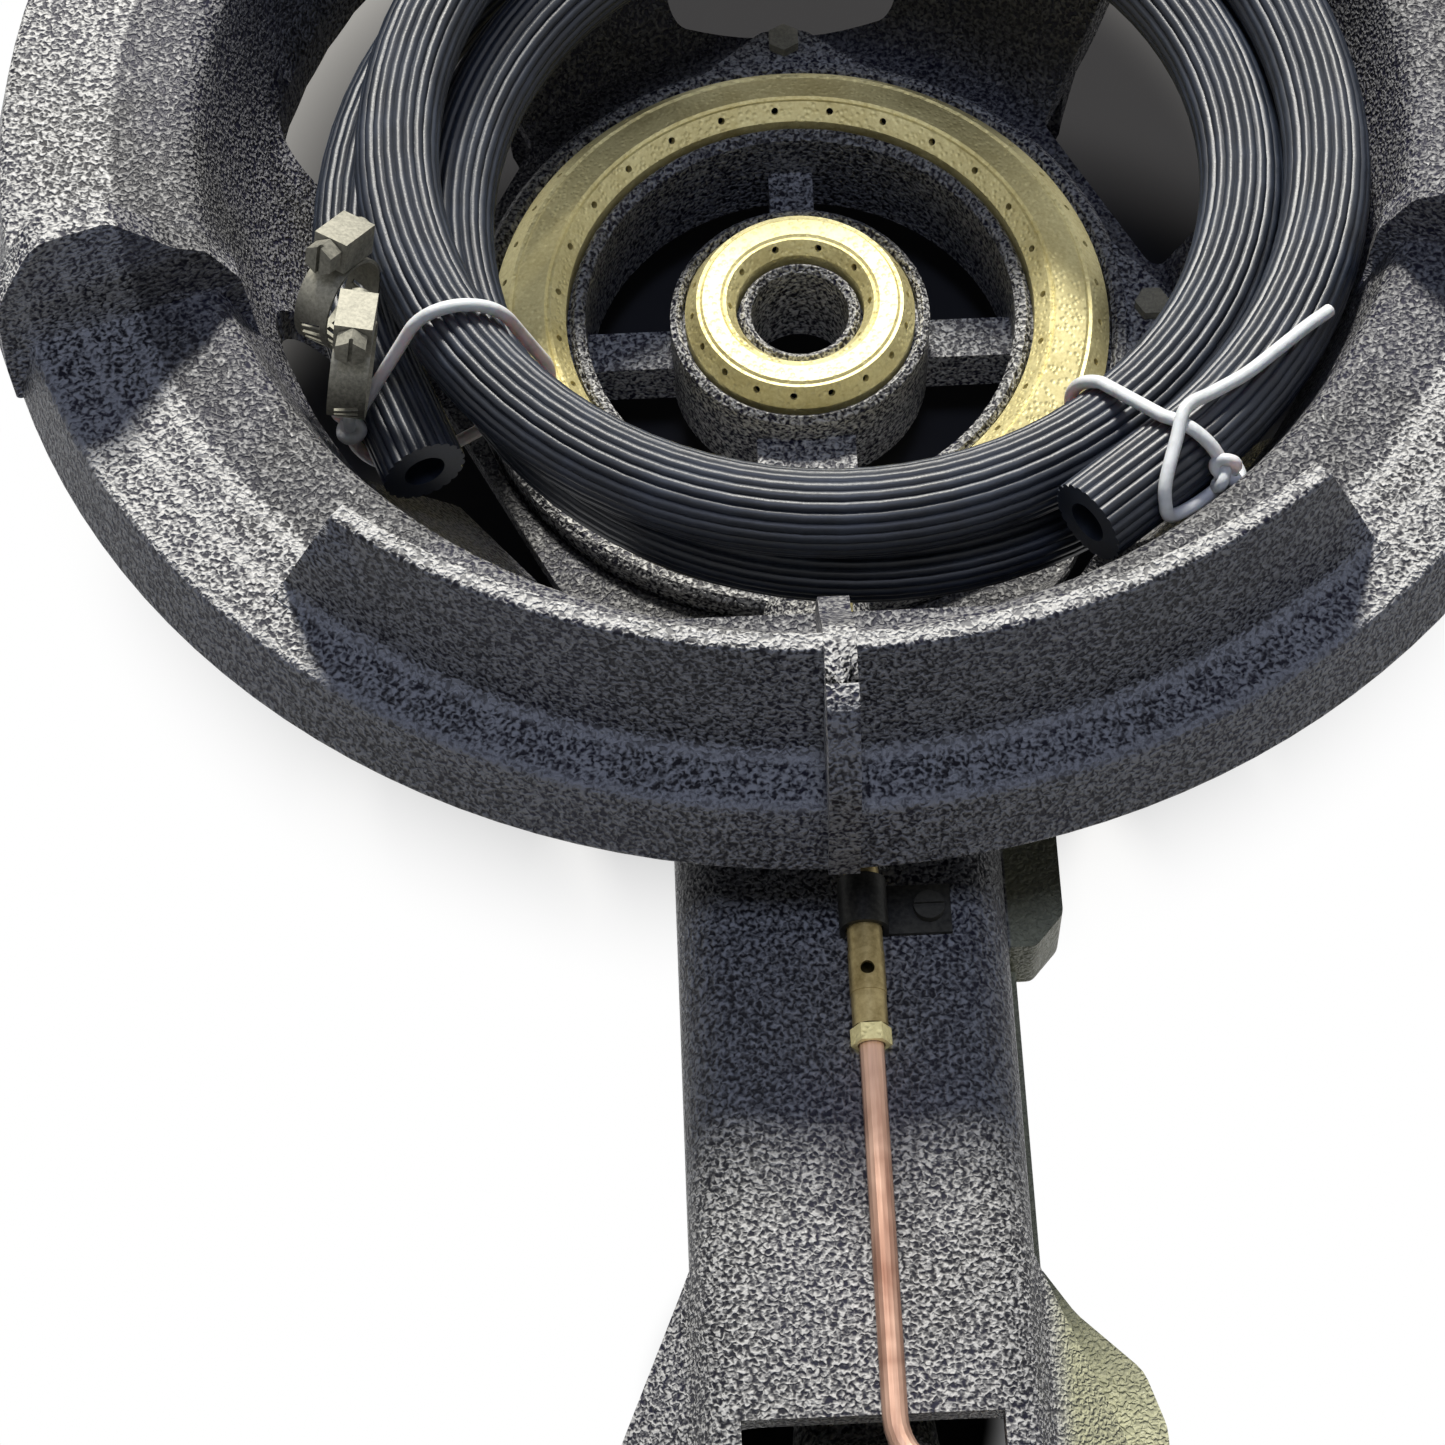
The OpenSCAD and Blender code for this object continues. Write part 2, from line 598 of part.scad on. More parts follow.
// Ring cap with bevelled edges, a groove beside each bevel and rows of flame holes
module ring_cap(r_in, r_out, low_in, low_out, top_in, top_out, n_in, n_out) {
    bevel_in = 0.22 * (r_out - r_in);
    bevel_out = 0.27 * (r_out - r_in);
    deck_in = r_in + bevel_in;
    deck_out = r_out - bevel_out;
    shoulder_in = top_in - 0.2 * cap_w;
    shoulder_out = top_out - 0.3 * cap_w;
    difference() {
        rotate_extrude() polygon([
            [r_in, low_in], [r_in, shoulder_in], [deck_in - 0.5, top_in - 0.3],
            [deck_in + 0.4, top_in - 0.6], [deck_in + 1.1, top_in],
            [deck_out - 1.1, top_out], [deck_out - 0.4, top_out - 0.7],
            [deck_out + 0.5, top_out - 0.5], [r_out, shoulder_out], [r_out, low_out],
            [r_out - cap_wall, low_out], [r_out - cap_wall, shoulder_out - 0.6],
            [deck_out - 0.6, top_out - cap_wall - 0.6], [deck_in + 1, top_in - cap_wall - 0.6],
            [r_in + cap_wall, shoulder_in - 0.8], [r_in + cap_wall, low_in]]);
        for (i = [0:n_in - 1]) rotate(360 * i / n_in)
            translate([(r_in + deck_in) / 2, 0, (shoulder_in + top_in) / 2])
                rotate([0, -45, 0]) cylinder(h = 8, d = flame_d, center = true, $fn = 16);
        for (i = [0:n_out - 1]) rotate(360 * i / n_out + 4)
            translate([(r_out + deck_out) / 2, 0, (shoulder_out + top_out) / 2])
                rotate([0, 45, 0]) cylinder(h = 8, d = flame_d, center = true, $fn = 16);
    }
}

module outer_ring_cap() {
    color(brass) place() ring_cap(cap_in, cap_r, ledge_in_z + seat, ledge_out_z + seat,
        inner_lip_z + 4.5, inner_lip_z + 2, holes_inner, holes_outer);
}

module inner_ring_cap() {
    color(brass) place() ring_cap(small_in, small_cap_r, ledge_in_z + seat, ledge_in_z + seat,
        inner_lip_z + 5, inner_lip_z + 5, 10, 18);
}

// ---------- gas valve ----------

// Disc with three ports and a finger tab, held against the mouth by a spring
module air_shutter() {
    color(steel) place() difference() {
        union() {
            gas_round(shutter_y, shutter_y + shutter_t, shutter_d / 2);
            gas_round(shutter_y, shutter_y + 5, sleeve_d / 2 + 2.2);
            along_arm(shutter_y, shutter_y + shutter_t) translate([0, gas_z]) rotate(30)
                polygon(rounded([[-6, shutter_d / 2 - 3, 0], [6, shutter_d / 2 - 3, 0],
                    [5, shutter_d / 2 + 13, 4], [-5, shutter_d / 2 + 13, 4]]));
        }
        gas_round(shutter_y - 1, shutter_y + 6, sleeve_d / 2 + running);
        air_ports(shutter_y - 1, shutter_y + shutter_t + 1);
    }
}

spring_wire = 1.4;
spring_turns = 4;

// Wound spring round the sleeve, between the shutter's hub and the lock nut
module shutter_spring() {
    from = shutter_y + 5 + seat + spring_wire / 2;
    to = recess_end - 5 - 2 * seat - spring_wire / 2;
    r = sleeve_d / 2 + 0.7 + spring_wire / 2;
    path = [for (i = [0:12 * spring_turns]) [r * cos(30 * i),
        -from - (to - from) * i / (12 * spring_turns), gas_z + r * sin(30 * i)]];
    echo(str("spring gap between turns ", (to - from) / spring_turns - spring_wire));
    color(steel) place() cord(path, [0, 1, 0], spring_wire, 6);
}

module nozzle() {
    color(brass) place() difference() {
        union() {
            gas_round(mouth_y - 6, nozzle_y - 7, 3.4);
            translate([0, -mouth_y + 6, gas_z]) rotate([-90, 0, 0])
                cylinder(h = 4, r1 = 3.4, r2 = 1.8);
        }
        gas_round(mouth_y - 11, nozzle_y, jet_d / 2);
        gas_round(mouth_y + 2, nozzle_y, 1.8);
    }
}

module nozzle_holder() {
    flange_y = arm_end + seat;
    color(brass) place() difference() {
        union() {
            gas_round(mouth_y - 3, flange_y + 1, sleeve_d / 2);
            translate([0, -flange_y, gas_z]) rotate([90, 0, 0]) hexagon(sleeve_d + 9, holder_t - 1);
            gas_round(flange_y + holder_t - 2, flange_y + holder_t, sleeve_d / 2 + 2);
        }
        gas_round(mouth_y - 4, nozzle_y - 7 + seat, 3.4 + seat);
        gas_round(nozzle_y - 8, flange_y + 10, 3);
    }
}

module lock_nut() {
    color(brass) place() difference() {
        translate([0, -recess_end + 5 + seat, gas_z]) rotate([90, 0, 0]) hexagon(sleeve_d + 7, 5);
        gas_round(recess_end - 8, recess_end + 2, sleeve_d / 2 + seat);
    }
}

valve_start = arm_end + seat + holder_t + seat;
inlet_x = tap_x + 11;

// Moves to the stem's axis at a distance from the gas axis
module on_stem(s) {
    translate([0, -valve_y, gas_z] + s * stem_dir) rotate([90 - stem_angle, 0, 0]) children();
}

module valve_body() {
    bonnet_l = valve_d / 2 + 5;
    color(brass) place() difference() {
        union() {
            translate([0, -valve_start, gas_z]) rotate([90, 0, 0])
                rotate_extrude() polygon(rounded([[0, 0, 0], [valve_d / 2 - 2, 0, 1],
                    [valve_d / 2, 4, 2], [valve_d / 2, 2 * (valve_y - valve_start), 6],
                    [0, 2 * (valve_y - valve_start), 0]]));
            on_stem(0) cylinder(h = bonnet_l, r = valve_d / 2 - 2);
            translate([0, -valve_y, gas_z]) rotate([0, 90, 0])
                cylinder(h = inlet_x, r = valve_d / 2 - 3);
            translate([0, -valve_y, gas_z]) rotate([0, 90, 0]) translate([0, 0, inlet_x - 9])
                hexagon(valve_d - 4, 9);
            // Riser to the pilot tap
            translate([tap_x, -valve_y, gas_z]) cylinder(h = tap_low - gas_z, r = 5.5);
            translate([tap_x, -valve_y, tap_low - 8]) hexagon(13, 8);
        }
        on_stem(4) cylinder(h = 40, d = stem_d + 2 * running);
        gas_round(valve_start - 1, valve_y, 4);
        translate([0, -valve_y, gas_z]) rotate([0, 90, 0]) cylinder(h = inlet_x + 1, r = 3.2);
        translate([tap_x, -valve_y, gas_z]) cylinder(h = tap_low, r = 1.6);
    }
}

tap_low = pipe_z - 7.5;

module stem_nut(from, across, h) {
    on_stem(from) difference() {
        union() {
            hexagon(across, h - 1);
            cylinder(h = h, r = across / 2 - 1);
        }
        translate([0, 0, -1]) cylinder(h = h + 2, d = stem_d + 2 * running);
    }
}

bonnet_from = valve_d / 2 + 5 + seat;

module bonnet_nut() {
    color(brass) place() stem_nut(bonnet_from, 20, 9);
}

module gland_nut() {
    color(brass) place() stem_nut(bonnet_from + 9 + seat, 15, 8);
}

module valve_stem() {
    color(steel) place() {
        on_stem(6) cylinder(h = stem_l + wheel_t / 2 - 6 - 2 * seat, d = stem_d);
        on_stem(stem_l + wheel_t / 2 - 1) cylinder(h = 9, d = stem_d / 2);
    }
}

// Cast wheel with a lobed rim, four spokes and a hub
module hand_wheel() {
    rim = wheel_d / 2 - 3.5;
    color("#d5d8da") place() on_stem(stem_l) difference() {
        union() {
            rotate_extrude() translate([rim, 0]) circle(r = 3.2);
            for (i = [0:wheel_lobes - 1]) rotate(360 * i / wheel_lobes) translate([rim, 0, 0])
                sphere(r = 3.5, $fn = 32);
            translate([0, 0, -wheel_t / 2]) cylinder(h = wheel_t, r = stem_d / 2 + 3.5);
            for (a = [0, 90]) rotate(a) rotate([90, 0, 0])
                cylinder(h = 2 * rim, r = 2.3, center = true);
        }
        translate([0, 0, -wheel_t]) cylinder(h = 1.5 * wheel_t - seat, d = stem_d + 2 * seat);
        cylinder(h = wheel_t, d = stem_d / 2 + 2 * seat);
    }
}

module wheel_nut() {
    color(steel) place() on_stem(stem_l + wheel_t / 2 + seat) difference() {
        union() {
            hexagon(8, 4);
            cylinder(h = 6, r = 3);
        }
        translate([0, 0, -1]) cylinder(h = 10, d = stem_d / 2 + 2 * seat);
    }
}

// Spigot whose ridges are as wide as its plain neck, so a hose slides over it
module hose_spigot() {
    r = spigot_d / 2;
    ridges = 3;
    pitch = (spigot_l - 14) / ridges;
    color(brass) place() translate([inlet_x + seat, -valve_y, gas_z]) rotate([0, 90, 0])
        difference() {
            union() {
                hexagon(17, 8);
                cylinder(h = 8 + 14, r = r);
                rotate_extrude() polygon(concat([[0, 20], [r, 20]],
                    [for (i = [0:ridges - 1]) each [[r, 22 + i * pitch],
                        [r - 0.9, 22 + i * pitch + 0.6], [r, 22 + (i + 1) * pitch - 1]]],
                    [[r - 0.9, 8 + spigot_l], [0, 8 + spigot_l]]));
            }
            translate([0, 0, -1]) cylinder(h = spigot_l + 20, r = 3);
        }
}

// ---------- pilot ----------

tap_y = valve_y;
tap_front = tap_y + 8;
tap_back = tap_y - 10;

module pilot_tap() {
    color(brass) place() difference() {
        union() {
            translate([tap_x, -tap_back, pipe_z]) rotate([90, 0, 0])
                cylinder(h = tap_front - tap_back, r = 6.5);
            translate([tap_x, -tap_y, tap_low + seat]) cylinder(h = 7.5 + 11, r = 5.5);
            translate([tap_x, -tap_front + 2, pipe_z]) rotate([90, 0, 0]) hexagon(10, 4);
        }
        translate([tap_x, -tap_back + 1, pipe_z]) rotate([90, 0, 0])
            cylinder(h = 8, d = pipe_d + 2 * seat);
        translate([tap_x, -tap_y, pipe_z + 2]) cylinder(h = 20, d = 5 + 2 * running);
    }
}

lever_z = pipe_z + 11 + 2 * seat;

// Lever on its own plug, which turns in the tap
module pilot_lever() {
    color("#26282c") place() translate([tap_x, -tap_y, 0]) difference() {
        union() {
            translate([0, 0, pipe_z + 2.5]) cylinder(h = 10, d = 5);
            translate([0, 0, lever_z]) cylinder(h = 6, r = 6);
            translate([0, 0, lever_z]) linear_extrude(5) polygon(rounded([[0, -4, 0],
                [lever_l - 5, -2.6, 1], [lever_l, -4.2, 3], [lever_l, 4.2, 3],
                [lever_l - 5, 2.6, 1], [0, 4, 0]]));
        }
        translate([0, 0, lever_z - 2]) cylinder(h = 10, d = 2.5 + 2 * seat);
    }
}

module lever_screw() {
    color(steel) place() translate([tap_x, -tap_y, lever_z]) difference() {
        union() {
            translate([0, 0, -1.5]) cylinder(h = 8, d = 2.5);
            translate([0, 0, 6 + seat]) cylinder(h = 1.8, r = 2.8);
        }
        translate([-4, -0.4, 7.2]) cube([8, 0.8, 2]);
    }
}

// Copper pipe: straight over the arm, then a gentle set over to the tap
pipe_start = mixer_end + 1;
pipe_bend = arm_end - 39;
pipe_stop = tap_back - 5;
pipe_turn = 40;
pipe_turn_r = 14;

module pilot_pipe() {
    slope = (tap_x - pipe_x - 2 * pipe_turn_r * (1 - cos(pipe_turn))) / sin(pipe_turn);
    far = pipe_bend + 2 * pipe_turn_r * sin(pipe_turn) + slope * cos(pipe_turn);
    turns = [for (i = [0:4]) pipe_turn * i / 4];
    path = concat([[pipe_x, -pipe_start, pipe_z]],
        [for (a = turns) [pipe_x + pipe_turn_r * (1 - cos(a)), -pipe_bend - pipe_turn_r * sin(a), pipe_z]],
        [for (i = [4:-1:0]) let (a = turns[i])
            [tap_x - pipe_turn_r * (1 - cos(a)), -far + pipe_turn_r * sin(a), pipe_z]],
        [[tap_x, -pipe_stop - 3, pipe_z]]);
    color(copper) place() cord(path, [0, 0, 1], pipe_d, 16);
}

module pipe_nut() {
    color(brass) place() translate([tap_x, -tap_back + seat, pipe_z]) rotate([-90, 0, 0])
        difference() {
            union() {
                hexagon(12, 7);
                cylinder(h = 9, r = 5);
            }
            translate([0, 0, -1]) cylinder(h = 12, d = pipe_d + 2 * seat);
        }
}

module mixer_nut() {
    color(brass) place() translate([pipe_x, -mixer_end - seat, pipe_z]) rotate([90, 0, 0])
        difference() {
            hexagon(8, 4);
            translate([0, 0, -1]) cylinder(h = 8, d = pipe_d + 2 * seat);
        }
}

// Brass body that draws air through its cross hole
module pilot_mixer() {
    air_y = mixer_end - 13;
    color("#8f7a45") place() difference() {
        union() {
            translate([pipe_x, -mixer_start, pipe_z]) rotate([90, 0, 0])
                cylinder(h = mixer_end - mixer_start, d = mixer_d);
            translate([pipe_x, -air_y + 5, pipe_z]) rotate([90, 0, 0])
                cylinder(h = 10, d = mixer_d + 0.3);
        }
        translate([pipe_x, -mixer_start + 1, pipe_z]) rotate([90, 0, 0])
            cylinder(h = mixer_end - mixer_start + 2, d = pipe_d + 2 * seat);
        translate([pipe_x, -air_y, pipe_z - 1]) cylinder(h = 10, d = 3.2);
    }
}

// Steel tube that drops from the mixer through the arm's roof to the burner's edge
jet_d_out = 5;
jet_z = gas_z + 20;
jet_high = [pipe_x, -mixer_start + 18, pipe_z];
jet_low = [pipe_x, -burner_r - 22, jet_z];

// Turns a part from +Z into the pilot tube's slope
module on_slope() {
    run = jet_low - jet_high;
    translate(jet_high) rotate([-acos(run[2] / norm(run)), 0, 0]) children();
}

module pilot_jet_tube() {
    color(steel) place() {
        translate(jet_high) rotate([90, 0, 0]) cylinder(h = 24, d = jet_d_out);
        translate(jet_high) sphere(d = jet_d_out, $fn = 48);
        on_slope() cylinder(h = norm(jet_low - jet_high), d = jet_d_out);
        translate(jet_low) sphere(d = jet_d_out, $fn = 48);
        translate(jet_low) rotate([-90, 0, 0]) cylinder(h = 10, d = jet_d_out);
    }
}

module pilot_head() {
    color(brass) place() translate(jet_low + [0, 10 + seat, 0])
        difference() {
            union() {
                rotate([-90, 0, 0]) cylinder(h = 9, d = 8);
                translate([0, 9, 0]) sphere(d = 8, $fn = 32);
            }
            translate([0, 7, 0]) cylinder(h = 10, d = 2.5);
            translate([0, 4, 0]) cylinder(h = 10, d = 1.6);
        }
}

bracket_y = mixer_start + 9;
bracket_t = 1.2;
bracket_w = 12;
bracket_screw_d = 4;

// Sheet strap over the mixer, with its foot screwed to the arm's roof
module pilot_bracket() {
    r = mixer_d / 2 + seat;
    color(steel) place() difference() {
        union() {
            along_arm(bracket_y - bracket_w / 2, bracket_y + bracket_w / 2)
                translate([pipe_x, pipe_z]) difference() {
                    union() {
                        circle(r = r + bracket_t);
                        translate([-r - bracket_t, -pipe_z + arm_top + seat])
                            square([2 * (r + bracket_t), pipe_z - arm_top - seat]);
                        translate([0, -pipe_z + arm_top + seat]) square([20, bracket_t]);
                    }
                    circle(r = r);
                    translate([-r, -pipe_z]) square([2 * r, pipe_z]);
                }
        }
        translate([pipe_x + 15, -bracket_y, arm_top - 1])
            cylinder(h = 5, d = bracket_screw_d + 2 * screw_gap);
    }
}

module bracket_screw() {
    color(steel) place() translate([pipe_x + 15, -bracket_y, arm_top + bracket_t + 2 * seat])
        difference() {
            union() {
                translate([0, 0, -9]) cylinder(h = 9, d = bracket_screw_d);
                cylinder(h = 2, r = bracket_screw_d - 0.5);
            }
            translate([-5, -0.5, 1.2]) cube([10, 1, 2]);
        }
}

// ---------- hose ----------

// Hose coil: wound inwards on the upper layer, then outwards on the lower one
coil_c = [9.4, -2.5];
coil_from = -54;
coil_high = skirt_z + 7.3;
coil_fall = 9;
coil_low = skirt_z - 23;
angle_in = 360 * turns_in;
angle_all = 360 * (turns_in + turns_out);
hose_sides = 8;

function ease(t) = let (c = min(max(t, 0), 1)) c * c * (3 - 2 * c);
function coil_radius(a) = a < angle_in ? coil_r - step_in * a / 360 :
    coil_r - step_in * turns_in + step_out * (a - angle_in) / 360;
function coil_z(a) = let (k = ease((a - angle_in + 90) / 180))
    (coil_high - coil_fall * a / 360) * (1 - k) + coil_low * k;
function coil_point(a) = let (r = coil_radius(a), t = coil_from + a)
    [coil_c[0] + r * cos(t), coil_c[1] + r * sin(t), coil_z(a)];
function lead(a, b) = coil_point(a) + hose_lead * unit(coil_point(a) - coil_point(b));

coil_steps = round(angle_all / 15);
hose_path = concat([lead(0, 1)],
    [for (i = [0:coil_steps]) coil_point(angle_all * i / coil_steps)],
    [lead(angle_all, angle_all - 1)]);

// Least distance between points that lie more than a third of a turn apart, less the hose
function self_gap(path, apart, d) = min([for (i = [0:len(path) - 1])
    for (j = [i + apart:1:len(path) - 1]) norm(path[i] - path[j])]) - d;

module hose_coil() {
    echo(str("hose least gap to itself ", self_gap(hose_path, 8, hose_d)));
    color(rubber) place() tube(hose_path, [0, 0, 1], hose_d, hose_bore, hose_sides);
}

// Point of a tie round the hose runs at one winding angle, in radius and height
function tie_point(a, turn, slack) = let (runs = [for (k = [0:2]) let (b = a + 360 * k)
        if (b <= angle_all + 12) [coil_radius(b) / cos(max(b - angle_all, 0)), coil_z(b)]],
        n = [cos(turn), sin(turn)], reach = [for (p = runs) p * n],
        best = runs[search(max(reach), reach)[0]])
    best + (hose_d / 2 + tie_d / 2 + slack) * n;

// Nearly closed loop that starts and ends at its knot, drifting along the hose
module tie(a, knot_turn, drift, slack) {
    steps = 36;
    w = coil_from + a;
    path = [for (i = [0:steps]) let (turn = knot_turn + 8 + 344 * i / steps,
        shift = drift * (1 - cos(360 * i / steps)) / 2, p = tie_point(a + shift, turn, slack),
        t = w + shift)
            [coil_c[0] + p[0] * cos(t), coil_c[1] + p[0] * sin(t), p[1]]];
    knot = tie_point(a, knot_turn, slack) + 1.2 * [cos(knot_turn), sin(knot_turn)];
    cord(path, [-sin(w), cos(w), 0], tie_d, 8);
    translate([coil_c[0] + knot[0] * cos(w), coil_c[1] + knot[0] * sin(w), knot[1]])
        sphere(d = 2.6 * tie_d, $fn = 16);
}

tie_left_at = 261;
tie_right_at = 2.5;

module tie_left() {
    color("white") place() tie(tie_left_at, 25, 5, 1.2);
}

module tie_right() {
    color("white") place() tie(tie_right_at, 20, -3.7, 0.75);
}

// ---------- hose clamps ----------

band_t = 0.8;
clamp_r = clamp_d / 2;
// Place, tilt, heading and spin of each loose clamp beside the coil
clamp_places = [[-113.2, -44, skirt_z + 5.7, 88, -33, 157],
    [-109.6, -64.4, skirt_z + 5.7, 98, -7, 170]];

module clamp_place(i) {
    c = clamp_places[i];
    translate([c[0], c[1], c[2]]) rotate([0, c[3], c[4]]) rotate(c[5]) children();
}

module clamp_bands() {
    color(steel) place() for (i = [0:1]) clamp_place(i) difference() {
        translate([0, 0, -clamp_w / 2]) cylinder(h = clamp_w, r = clamp_r + band_t);
        translate([0, 0, -clamp_w]) cylinder(h = 2 * clamp_w, r = clamp_r);
        for (a = [100:12:260]) rotate(a) translate([clamp_r, 0, 0]) rotate([15, 0, 0])
            cube([4, 1.2, clamp_w - 3], center = true);
    }
}

module clamp_housings() {
    color(steel) place() for (i = [0:1]) clamp_place(i) difference() {
        translate([clamp_r + band_t + seat, -6, -clamp_w / 2]) cube([8, 12, clamp_w]);
        translate([clamp_r + band_t + seat + 4, -7, 0]) rotate([-90, 0, 0])
            cylinder(h = 14, r = 3 + seat);
    }
}

module clamp_screws() {
    color(steel) place() for (i = [0:1]) clamp_place(i)
        translate([clamp_r + band_t + seat + 4, 0, 0]) rotate([-90, 0, 0]) difference() {
            union() {
                translate([0, 0, -8]) cylinder(h = 16, r = 3);
                translate([0, 0, 6 + seat]) hexagon(7, 4.5);
            }
            translate([-5, -0.5, 9.5]) cube([10, 1, 3]);
        }
}

bowl();
arm();
arm_bolts();
burner_body();
burner_bolts();
outer_ring_cap();
inner_ring_cap();
air_shutter();
shutter_spring();
nozzle();
nozzle_holder();
lock_nut();
valve_body();
bonnet_nut();
gland_nut();
valve_stem();
hand_wheel();
wheel_nut();
hose_spigot();
pilot_tap();
pilot_lever();
lever_screw();
pilot_pipe();
pipe_nut();
mixer_nut();
pilot_mixer();
pilot_jet_tube();
pilot_head();
pilot_bracket();
bracket_screw();
hose_coil();
tie_left();
tie_right();
clamp_bands();
clamp_housings();
clamp_screws();
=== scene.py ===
import bpy
import math
from mathutils import Matrix, Vector


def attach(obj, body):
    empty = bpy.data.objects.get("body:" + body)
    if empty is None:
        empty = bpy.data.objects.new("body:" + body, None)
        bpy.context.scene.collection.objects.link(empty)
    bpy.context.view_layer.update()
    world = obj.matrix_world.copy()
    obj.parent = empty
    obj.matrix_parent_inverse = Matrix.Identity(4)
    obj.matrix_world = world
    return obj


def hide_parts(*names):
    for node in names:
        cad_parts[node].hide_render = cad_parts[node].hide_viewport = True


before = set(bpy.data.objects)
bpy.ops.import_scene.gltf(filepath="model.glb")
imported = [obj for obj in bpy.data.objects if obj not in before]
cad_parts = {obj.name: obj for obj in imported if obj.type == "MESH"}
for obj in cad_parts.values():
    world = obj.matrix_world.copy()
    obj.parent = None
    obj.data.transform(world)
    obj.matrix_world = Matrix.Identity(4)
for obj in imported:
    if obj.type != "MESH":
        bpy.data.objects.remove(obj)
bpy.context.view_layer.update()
bowlY = 0.111901  # the bowl's axis lies this far behind the origin
skirtZ = 0.118


def fromBowl(x, y, z):  # millimetres from the bowl's axis on the ground
    return Vector((x / 1000, y / 1000 + bowlY, z / 1000))


# ---- camera

shot = {"centre": (0, bowlY, skirtZ), "distance": 0.902, "turn": -2.8, "height": 52.62,
        "tilt": -9.11, "pan": 1.233, "lens": 89.69}


def makeCamera():
    data = bpy.data.cameras.new("camera")
    data.lens = shot["lens"]
    data.clip_start = 0.05
    camera = bpy.data.objects.new("camera", data)
    bpy.context.collection.objects.link(camera)
    high = math.radians(shot["height"])
    turn = Matrix.Rotation(math.radians(shot["turn"]), 4, "Z")
    away = turn @ Vector((0, -math.cos(high), math.sin(high))) * shot["distance"]
    look = turn @ Matrix.Rotation(math.radians(90 - shot["height"] + shot["tilt"]), 4, "X")
    look = look @ Matrix.Rotation(math.radians(shot["pan"]), 4, "Y")
    camera.matrix_world = Matrix.Translation(Vector(shot["centre"]) + away) @ look
    bpy.context.scene.camera = camera


makeCamera()
bpy.context.scene.view_settings.view_transform = "Standard"
print("camera done")


# ---- shader sums

class Wire:  # one output of a node, usable in sums
    def __init__(self, finish, socket):
        self.finish = finish
        self.socket = socket

    def sum(self, operation, *values):
        return self.finish.node("Math", {"operation": operation}, dict(enumerate(values)))

    def __add__(self, other):
        return self.sum("ADD", self, other)

    def __sub__(self, other):
        return self.sum("SUBTRACT", self, other)

    def __rsub__(self, other):
        return self.sum("SUBTRACT", other, self)

    def __mul__(self, other):
        return self.sum("MULTIPLY", self, other)

    def __pow__(self, other):
        return self.sum("POWER", self, other)

    __radd__ = __add__
    __rmul__ = __mul__

    def size(self):
        return self.sum("ABSOLUTE", self)

    def over(self, low, high):  # 0 below low, 1 above high, smooth between
        return self.finish.node("MapRange", {"interpolation_type": "SMOOTHSTEP"},
                                {"Value": self, "From Min": low, "From Max": high})


class Finish:  # one material, built from nodes
    def __init__(self, name, **fixed):
        self.material = bpy.data.materials.new(name)
        self.material.use_nodes = True
        self.tree = self.material.node_tree
        self.shader = self.tree.nodes["Principled BSDF"]
        self.feed(**fixed)
        self.place = self.node("TexCoord", out="Object")

    def put(self, socket, value):
        if isinstance(value, Wire):
            self.tree.links.new(value.socket, socket)
        elif socket.type == "RGBA" and len(value) == 3:
            socket.default_value = (*value, 1)
        else:
            socket.default_value = value

    def node(self, kind, settings=None, inputs=None, out=0):
        made = self.tree.nodes.new("ShaderNode" + kind)
        for key, value in (settings or {}).items():
            setattr(made, key, value)
        for key, value in (inputs or {}).items():
            self.put(made.inputs[key], value)
        return Wire(self, made.outputs[out])

    def feed(self, **values):  # base_color=... feeds the shader's Base Color
        for key, value in values.items():
            self.put(self.shader.inputs[key.replace("_", " ").title().replace("Ior", "IOR")], value)

    def noise(self, scale, detail=2, roughness=0.5, distortion=0, vector=None):
        return self.node("TexNoise", None, {"Vector": vector or self.place, "Scale": scale,
                                            "Detail": detail, "Roughness": roughness,
                                            "Distortion": distortion})

    def cells(self, scale):
        return self.node("TexVoronoi", None, {"Vector": self.place, "Scale": scale}, "Distance")

    def stretched(self, x, y, z):
        return self.node("Mapping", None, {"Vector": self.place, "Scale": (x, y, z)})

    def axis(self, name):
        return self.node("SeparateXYZ", None, {"Vector": self.place}, name)

    def blend(self, share, low, high):
        return self.node("Mix", {"data_type": "RGBA"}, {0: share, 6: low, 7: high}, 2)

    def bump(self, height, strength, depth, under=None):
        inputs = {"Height": height, "Strength": strength, "Distance": depth}
        if under:
            inputs["Normal"] = under
        return self.node("Bump", None, inputs)


# ---- finishes

hammer = {
    "grain": 980, "worm": (0.29, 0.75), "deep": 0.0005,  # the silver worms and their height
    "patch": 24, "least": 0.8, "more": 0.4,  # patches where the silver lies thicker
    "lump": 55, "lumpDeep": 0.0007,  # rough casting below the paint
    "ground": (0.012, 0.012, 0.018), "blue": (0.014, 0.014, 0.032),
    "silver": (0.6, 0.6, 0.59), "olive": (0.5, 0.5, 0.33),
    "inside": (0.1665, 0.1685), "inner": 0.4,  # painted shade: less silver within this radius
    "rimZ": (0.125, 0.132), "rim": 0.3,  # painted light: more silver on the rim top
    "edges": [0.171, 0.1815, 0.193], "edge": (0.0005, 0.0018),  # painted highlights along the edges: radii and half width
    "front": (-0.1, -0.02), "edgeZ": (0.125, 0.13), "paintedHighlight": 0.35, "paintedHighlightWorm": 0.8,
    "lugX": (0.0385, 0.0395), "lugZ": (0.078, 0.084), "paintedLight": 0.8}  # painted light: olive brightening low on the lug and the foot's ledge
